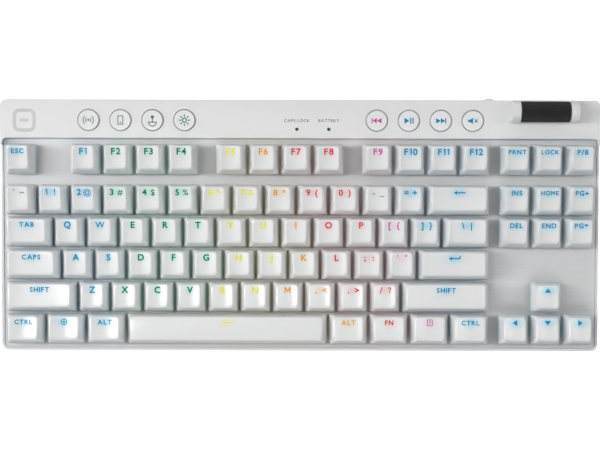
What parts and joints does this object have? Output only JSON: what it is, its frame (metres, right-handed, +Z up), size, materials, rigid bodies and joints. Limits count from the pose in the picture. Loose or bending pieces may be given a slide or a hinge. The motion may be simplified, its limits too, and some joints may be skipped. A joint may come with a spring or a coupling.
{
  "type": "mechanical keyboard",
  "caption": "Low wedge-shaped mechanical keyboard without a number pad, with a raised media strip, round buttons, a volume roller, a stowed receiver and folding tilt feet.",
  "frame": {"origin": "middle of the footprint, on the surface that the rubber pads stand on", "axes": "+X to the typist's right, along the rows of keys; +Y away from the typist, towards the media strip; +Z up"},
  "size_m": [0.3558, 0.151, 0.034],
  "materials": {
    "case_white": "fine satin grain",
    "foot_white": "satin",
    "keycap_white": "satin",
    "button_white": "satin",
    "plate_aluminium": "brushed and anodised",
    "board_black": "satin",
    "battery_foil": "laminated foil",
    "port_steel": "plated",
    "light_pipe_grey": "smoked, glossy",
    "roller_black": "knurled",
    "slider_grey": "satin",
    "receiver_grey": "satin",
    "pad_rubber": "matte"
  },
  "bodies": {
    "case": {"bottom_case": "case_white", "top_case": "case_white", "switch_plate": "plate_aluminium", "switch_board": "board_black", "battery": "battery_foil", "usb_c_port": "port_steel", "indicator_light_pipe": "light_pipe_grey", "front_left_pad": "pad_rubber", "front_right_pad": "pad_rubber", "rear_left_pad": "pad_rubber", "rear_right_pad": "pad_rubber"},
    "volume_roller": {"volume_roller": "roller_black"},
    "power_slider": {"power_slider": "slider_grey"},
    "wireless_receiver": {"wireless_receiver": "receiver_grey"},
    "left_high_foot": {"left_high_foot": "foot_white"},
    "left_low_foot": {"left_low_foot": "foot_white"},
    "right_high_foot": {"right_high_foot": "foot_white"},
    "right_low_foot": {"right_low_foot": "foot_white"},
    "wireless_button": {"wireless_button": "button_white"},
    "pairing_button": {"pairing_button": "button_white"},
    "game_mode_button": {"game_mode_button": "button_white"},
    "brightness_button": {"brightness_button": "button_white"},
    "previous_track_button": {"previous_track_button": "button_white"},
    "play_pause_button": {"play_pause_button": "button_white"},
    "next_track_button": {"next_track_button": "button_white"},
    "mute_button": {"mute_button": "button_white"},
    "escape_key": {"escape_key": "keycap_white"},
    "function_keys_f1_to_f4": {"function_keys_f1_to_f4": "keycap_white"},
    "function_keys_f5_to_f8": {"function_keys_f5_to_f8": "keycap_white"},
    "function_keys_f9_to_f12": {"function_keys_f9_to_f12": "keycap_white"},
    "print_lock_pause_keys": {"print_lock_pause_keys": "keycap_white"},
    "number_keys_left_hand": {"number_keys_left_hand": "keycap_white"},
    "number_keys_right_hand": {"number_keys_right_hand": "keycap_white"},
    "backspace_key": {"backspace_key": "keycap_white"},
    "insert_home_page_up_keys": {"insert_home_page_up_keys": "keycap_white"},
    "tab_key": {"tab_key": "keycap_white"},
    "upper_letters_left_hand": {"upper_letters_left_hand": "keycap_white"},
    "upper_letters_right_hand": {"upper_letters_right_hand": "keycap_white"},
    "backslash_key": {"backslash_key": "keycap_white"},
    "delete_end_page_down_keys": {"delete_end_page_down_keys": "keycap_white"},
    "caps_lock_key": {"caps_lock_key": "keycap_white"},
    "home_letters_left_hand": {"home_letters_left_hand": "keycap_white"},
    "home_letters_right_hand": {"home_letters_right_hand": "keycap_white"},
    "enter_key": {"enter_key": "keycap_white"},
    "left_shift_key": {"left_shift_key": "keycap_white"},
    "lower_letters_left_hand": {"lower_letters_left_hand": "keycap_white"},
    "lower_letters_right_hand": {"lower_letters_right_hand": "keycap_white"},
    "right_shift_key": {"right_shift_key": "keycap_white"},
    "up_arrow_key": {"up_arrow_key": "keycap_white"},
    "left_control_key": {"left_control_key": "keycap_white"},
    "left_system_key": {"left_system_key": "keycap_white"},
    "left_alt_key": {"left_alt_key": "keycap_white"},
    "space_bar": {"space_bar": "keycap_white"},
    "right_alt_key": {"right_alt_key": "keycap_white"},
    "fn_key": {"fn_key": "keycap_white"},
    "menu_key": {"menu_key": "keycap_white"},
    "right_control_key": {"right_control_key": "keycap_white"},
    "left_arrow_key": {"left_arrow_key": "keycap_white"},
    "down_arrow_key": {"down_arrow_key": "keycap_white"},
    "right_arrow_key": {"right_arrow_key": "keycap_white"}
  },
  "joints": [
    {"name": "volume_roller_turn", "type": "hinge", "parent": "case", "child": "volume_roller", "pos_m": [0.14298, 0.06648, 0.02772], "axis": [1, 0, 0], "continuous": true},
    {"name": "power_slider_move", "type": "slide", "parent": "case", "child": "power_slider", "axis": [1, 0, 0], "range_m": [0, 0.0035]},
    {"name": "receiver_pull", "type": "slide", "parent": "case", "child": "wireless_receiver", "axis": [0, 1, 0], "range_m": [0, 0.024]},
    {"name": "left_high_foot_fold", "type": "hinge", "parent": "case", "child": "left_high_foot", "pos_m": [-0.13388, 0.06748, 0.0033], "axis": [1, 0, 0], "range_deg": [0, 98]},
    {"name": "left_low_foot_fold", "type": "hinge", "parent": "case", "child": "left_low_foot", "pos_m": [-0.13388, 0.06748, 0.0033], "axis": [1, 0, 0], "range_deg": [0, 98]},
    {"name": "right_high_foot_fold", "type": "hinge", "parent": "case", "child": "right_high_foot", "pos_m": [0.13388, 0.06748, 0.0033], "axis": [1, 0, 0], "range_deg": [0, 98]},
    {"name": "right_low_foot_fold", "type": "hinge", "parent": "case", "child": "right_low_foot", "pos_m": [0.13388, 0.06748, 0.0033], "axis": [1, 0, 0], "range_deg": [0, 98]},
    {"name": "wireless_button_press", "type": "slide", "parent": "case", "child": "wireless_button", "axis": [0, 0.0436, -0.999], "range_m": [0, 0.0012], "stiffness_N_per_m": 400, "springref_m": -0.0008},
    {"name": "pairing_button_press", "type": "slide", "parent": "case", "child": "pairing_button", "axis": [0, 0.0436, -0.999], "range_m": [0, 0.0012], "stiffness_N_per_m": 400, "springref_m": -0.0008},
    {"name": "game_mode_button_press", "type": "slide", "parent": "case", "child": "game_mode_button", "axis": [0, 0.0436, -0.999], "range_m": [0, 0.0012], "stiffness_N_per_m": 400, "springref_m": -0.0008},
    {"name": "brightness_button_press", "type": "slide", "parent": "case", "child": "brightness_button", "axis": [0, 0.0436, -0.999], "range_m": [0, 0.0012], "stiffness_N_per_m": 400, "springref_m": -0.0008},
    {"name": "previous_track_button_press", "type": "slide", "parent": "case", "child": "previous_track_button", "axis": [0, 0.0436, -0.999], "range_m": [0, 0.0012], "stiffness_N_per_m": 400, "springref_m": -0.0008},
    {"name": "play_pause_button_press", "type": "slide", "parent": "case", "child": "play_pause_button", "axis": [0, 0.0436, -0.999], "range_m": [0, 0.0012], "stiffness_N_per_m": 400, "springref_m": -0.0008},
    {"name": "next_track_button_press", "type": "slide", "parent": "case", "child": "next_track_button", "axis": [0, 0.0436, -0.999], "range_m": [0, 0.0012], "stiffness_N_per_m": 400, "springref_m": -0.0008},
    {"name": "mute_button_press", "type": "slide", "parent": "case", "child": "mute_button", "axis": [0, 0.0436, -0.999], "range_m": [0, 0.0012], "stiffness_N_per_m": 400, "springref_m": -0.0008},
    {"name": "escape_key_press", "type": "slide", "parent": "case", "child": "escape_key", "axis": [0, 0.0436, -0.999], "range_m": [0, 0.004], "stiffness_N_per_m": 120, "springref_m": -0.0035},
    {"name": "function_keys_f1_to_f4_press", "type": "slide", "parent": "case", "child": "function_keys_f1_to_f4", "axis": [0, 0.0436, -0.999], "range_m": [0, 0.004], "stiffness_N_per_m": 480, "springref_m": -0.0035},
    {"name": "function_keys_f5_to_f8_press", "type": "slide", "parent": "case", "child": "function_keys_f5_to_f8", "axis": [0, 0.0436, -0.999], "range_m": [0, 0.004], "stiffness_N_per_m": 480, "springref_m": -0.0035},
    {"name": "function_keys_f9_to_f12_press", "type": "slide", "parent": "case", "child": "function_keys_f9_to_f12", "axis": [0, 0.0436, -0.999], "range_m": [0, 0.004], "stiffness_N_per_m": 480, "springref_m": -0.0035},
    {"name": "print_lock_pause_keys_press", "type": "slide", "parent": "case", "child": "print_lock_pause_keys", "axis": [0, 0.0436, -0.999], "range_m": [0, 0.004], "stiffness_N_per_m": 360, "springref_m": -0.0035},
    {"name": "number_keys_left_hand_press", "type": "slide", "parent": "case", "child": "number_keys_left_hand", "axis": [0, 0.0436, -0.999], "range_m": [0, 0.004], "stiffness_N_per_m": 720, "springref_m": -0.0035},
    {"name": "number_keys_right_hand_press", "type": "slide", "parent": "case", "child": "number_keys_right_hand", "axis": [0, 0.0436, -0.999], "range_m": [0, 0.004], "stiffness_N_per_m": 840, "springref_m": -0.0035},
    {"name": "backspace_key_press", "type": "slide", "parent": "case", "child": "backspace_key", "axis": [0, 0.0436, -0.999], "range_m": [0, 0.004], "stiffness_N_per_m": 120, "springref_m": -0.0035},
    {"name": "insert_home_page_up_keys_press", "type": "slide", "parent": "case", "child": "insert_home_page_up_keys", "axis": [0, 0.0436, -0.999], "range_m": [0, 0.004], "stiffness_N_per_m": 360, "springref_m": -0.0035},
    {"name": "tab_key_press", "type": "slide", "parent": "case", "child": "tab_key", "axis": [0, 0.0436, -0.999], "range_m": [0, 0.004], "stiffness_N_per_m": 120, "springref_m": -0.0035},
    {"name": "upper_letters_left_hand_press", "type": "slide", "parent": "case", "child": "upper_letters_left_hand", "axis": [0, 0.0436, -0.999], "range_m": [0, 0.004], "stiffness_N_per_m": 600, "springref_m": -0.0035},
    {"name": "upper_letters_right_hand_press", "type": "slide", "parent": "case", "child": "upper_letters_right_hand", "axis": [0, 0.0436, -0.999], "range_m": [0, 0.004], "stiffness_N_per_m": 840, "springref_m": -0.0035},
    {"name": "backslash_key_press", "type": "slide", "parent": "case", "child": "backslash_key", "axis": [0, 0.0436, -0.999], "range_m": [0, 0.004], "stiffness_N_per_m": 120, "springref_m": -0.0035},
    {"name": "delete_end_page_down_keys_press", "type": "slide", "parent": "case", "child": "delete_end_page_down_keys", "axis": [0, 0.0436, -0.999], "range_m": [0, 0.004], "stiffness_N_per_m": 360, "springref_m": -0.0035},
    {"name": "caps_lock_key_press", "type": "slide", "parent": "case", "child": "caps_lock_key", "axis": [0, 0.0436, -0.999], "range_m": [0, 0.004], "stiffness_N_per_m": 120, "springref_m": -0.0035},
    {"name": "home_letters_left_hand_press", "type": "slide", "parent": "case", "child": "home_letters_left_hand", "axis": [0, 0.0436, -0.999], "range_m": [0, 0.004], "stiffness_N_per_m": 600, "springref_m": -0.0035},
    {"name": "home_letters_right_hand_press", "type": "slide", "parent": "case", "child": "home_letters_right_hand", "axis": [0, 0.0436, -0.999], "range_m": [0, 0.004], "stiffness_N_per_m": 720, "springref_m": -0.0035},
    {"name": "enter_key_press", "type": "slide", "parent": "case", "child": "enter_key", "axis": [0, 0.0436, -0.999], "range_m": [0, 0.004], "stiffness_N_per_m": 120, "springref_m": -0.0035},
    {"name": "left_shift_key_press", "type": "slide", "parent": "case", "child": "left_shift_key", "axis": [0, 0.0436, -0.999], "range_m": [0, 0.004], "stiffness_N_per_m": 120, "springref_m": -0.0035},
    {"name": "lower_letters_left_hand_press", "type": "slide", "parent": "case", "child": "lower_letters_left_hand", "axis": [0, 0.0436, -0.999], "range_m": [0, 0.004], "stiffness_N_per_m": 600, "springref_m": -0.0035},
    {"name": "lower_letters_right_hand_press", "type": "slide", "parent": "case", "child": "lower_letters_right_hand", "axis": [0, 0.0436, -0.999], "range_m": [0, 0.004], "stiffness_N_per_m": 600, "springref_m": -0.0035},
    {"name": "right_shift_key_press", "type": "slide", "parent": "case", "child": "right_shift_key", "axis": [0, 0.0436, -0.999], "range_m": [0, 0.004], "stiffness_N_per_m": 120, "springref_m": -0.0035},
    {"name": "up_arrow_key_press", "type": "slide", "parent": "case", "child": "up_arrow_key", "axis": [0, 0.0436, -0.999], "range_m": [0, 0.004], "stiffness_N_per_m": 120, "springref_m": -0.0035},
    {"name": "left_control_key_press", "type": "slide", "parent": "case", "child": "left_control_key", "axis": [0, 0.0436, -0.999], "range_m": [0, 0.004], "stiffness_N_per_m": 120, "springref_m": -0.0035},
    {"name": "left_system_key_press", "type": "slide", "parent": "case", "child": "left_system_key", "axis": [0, 0.0436, -0.999], "range_m": [0, 0.004], "stiffness_N_per_m": 120, "springref_m": -0.0035},
    {"name": "left_alt_key_press", "type": "slide", "parent": "case", "child": "left_alt_key", "axis": [0, 0.0436, -0.999], "range_m": [0, 0.004], "stiffness_N_per_m": 120, "springref_m": -0.0035},
    {"name": "space_bar_press", "type": "slide", "parent": "case", "child": "space_bar", "axis": [0, 0.0436, -0.999], "range_m": [0, 0.004], "stiffness_N_per_m": 120, "springref_m": -0.0035},
    {"name": "right_alt_key_press", "type": "slide", "parent": "case", "child": "right_alt_key", "axis": [0, 0.0436, -0.999], "range_m": [0, 0.004], "stiffness_N_per_m": 120, "springref_m": -0.0035},
    {"name": "fn_key_press", "type": "slide", "parent": "case", "child": "fn_key", "axis": [0, 0.0436, -0.999], "range_m": [0, 0.004], "stiffness_N_per_m": 120, "springref_m": -0.0035},
    {"name": "menu_key_press", "type": "slide", "parent": "case", "child": "menu_key", "axis": [0, 0.0436, -0.999], "range_m": [0, 0.004], "stiffness_N_per_m": 120, "springref_m": -0.0035},
    {"name": "right_control_key_press", "type": "slide", "parent": "case", "child": "right_control_key", "axis": [0, 0.0436, -0.999], "range_m": [0, 0.004], "stiffness_N_per_m": 120, "springref_m": -0.0035},
    {"name": "left_arrow_key_press", "type": "slide", "parent": "case", "child": "left_arrow_key", "axis": [0, 0.0436, -0.999], "range_m": [0, 0.004], "stiffness_N_per_m": 120, "springref_m": -0.0035},
    {"name": "down_arrow_key_press", "type": "slide", "parent": "case", "child": "down_arrow_key", "axis": [0, 0.0436, -0.999], "range_m": [0, 0.004], "stiffness_N_per_m": 120, "springref_m": -0.0035},
    {"name": "right_arrow_key_press", "type": "slide", "parent": "case", "child": "right_arrow_key", "axis": [0, 0.0436, -0.999], "range_m": [0, 0.004], "stiffness_N_per_m": 120, "springref_m": -0.0035}
  ]
}
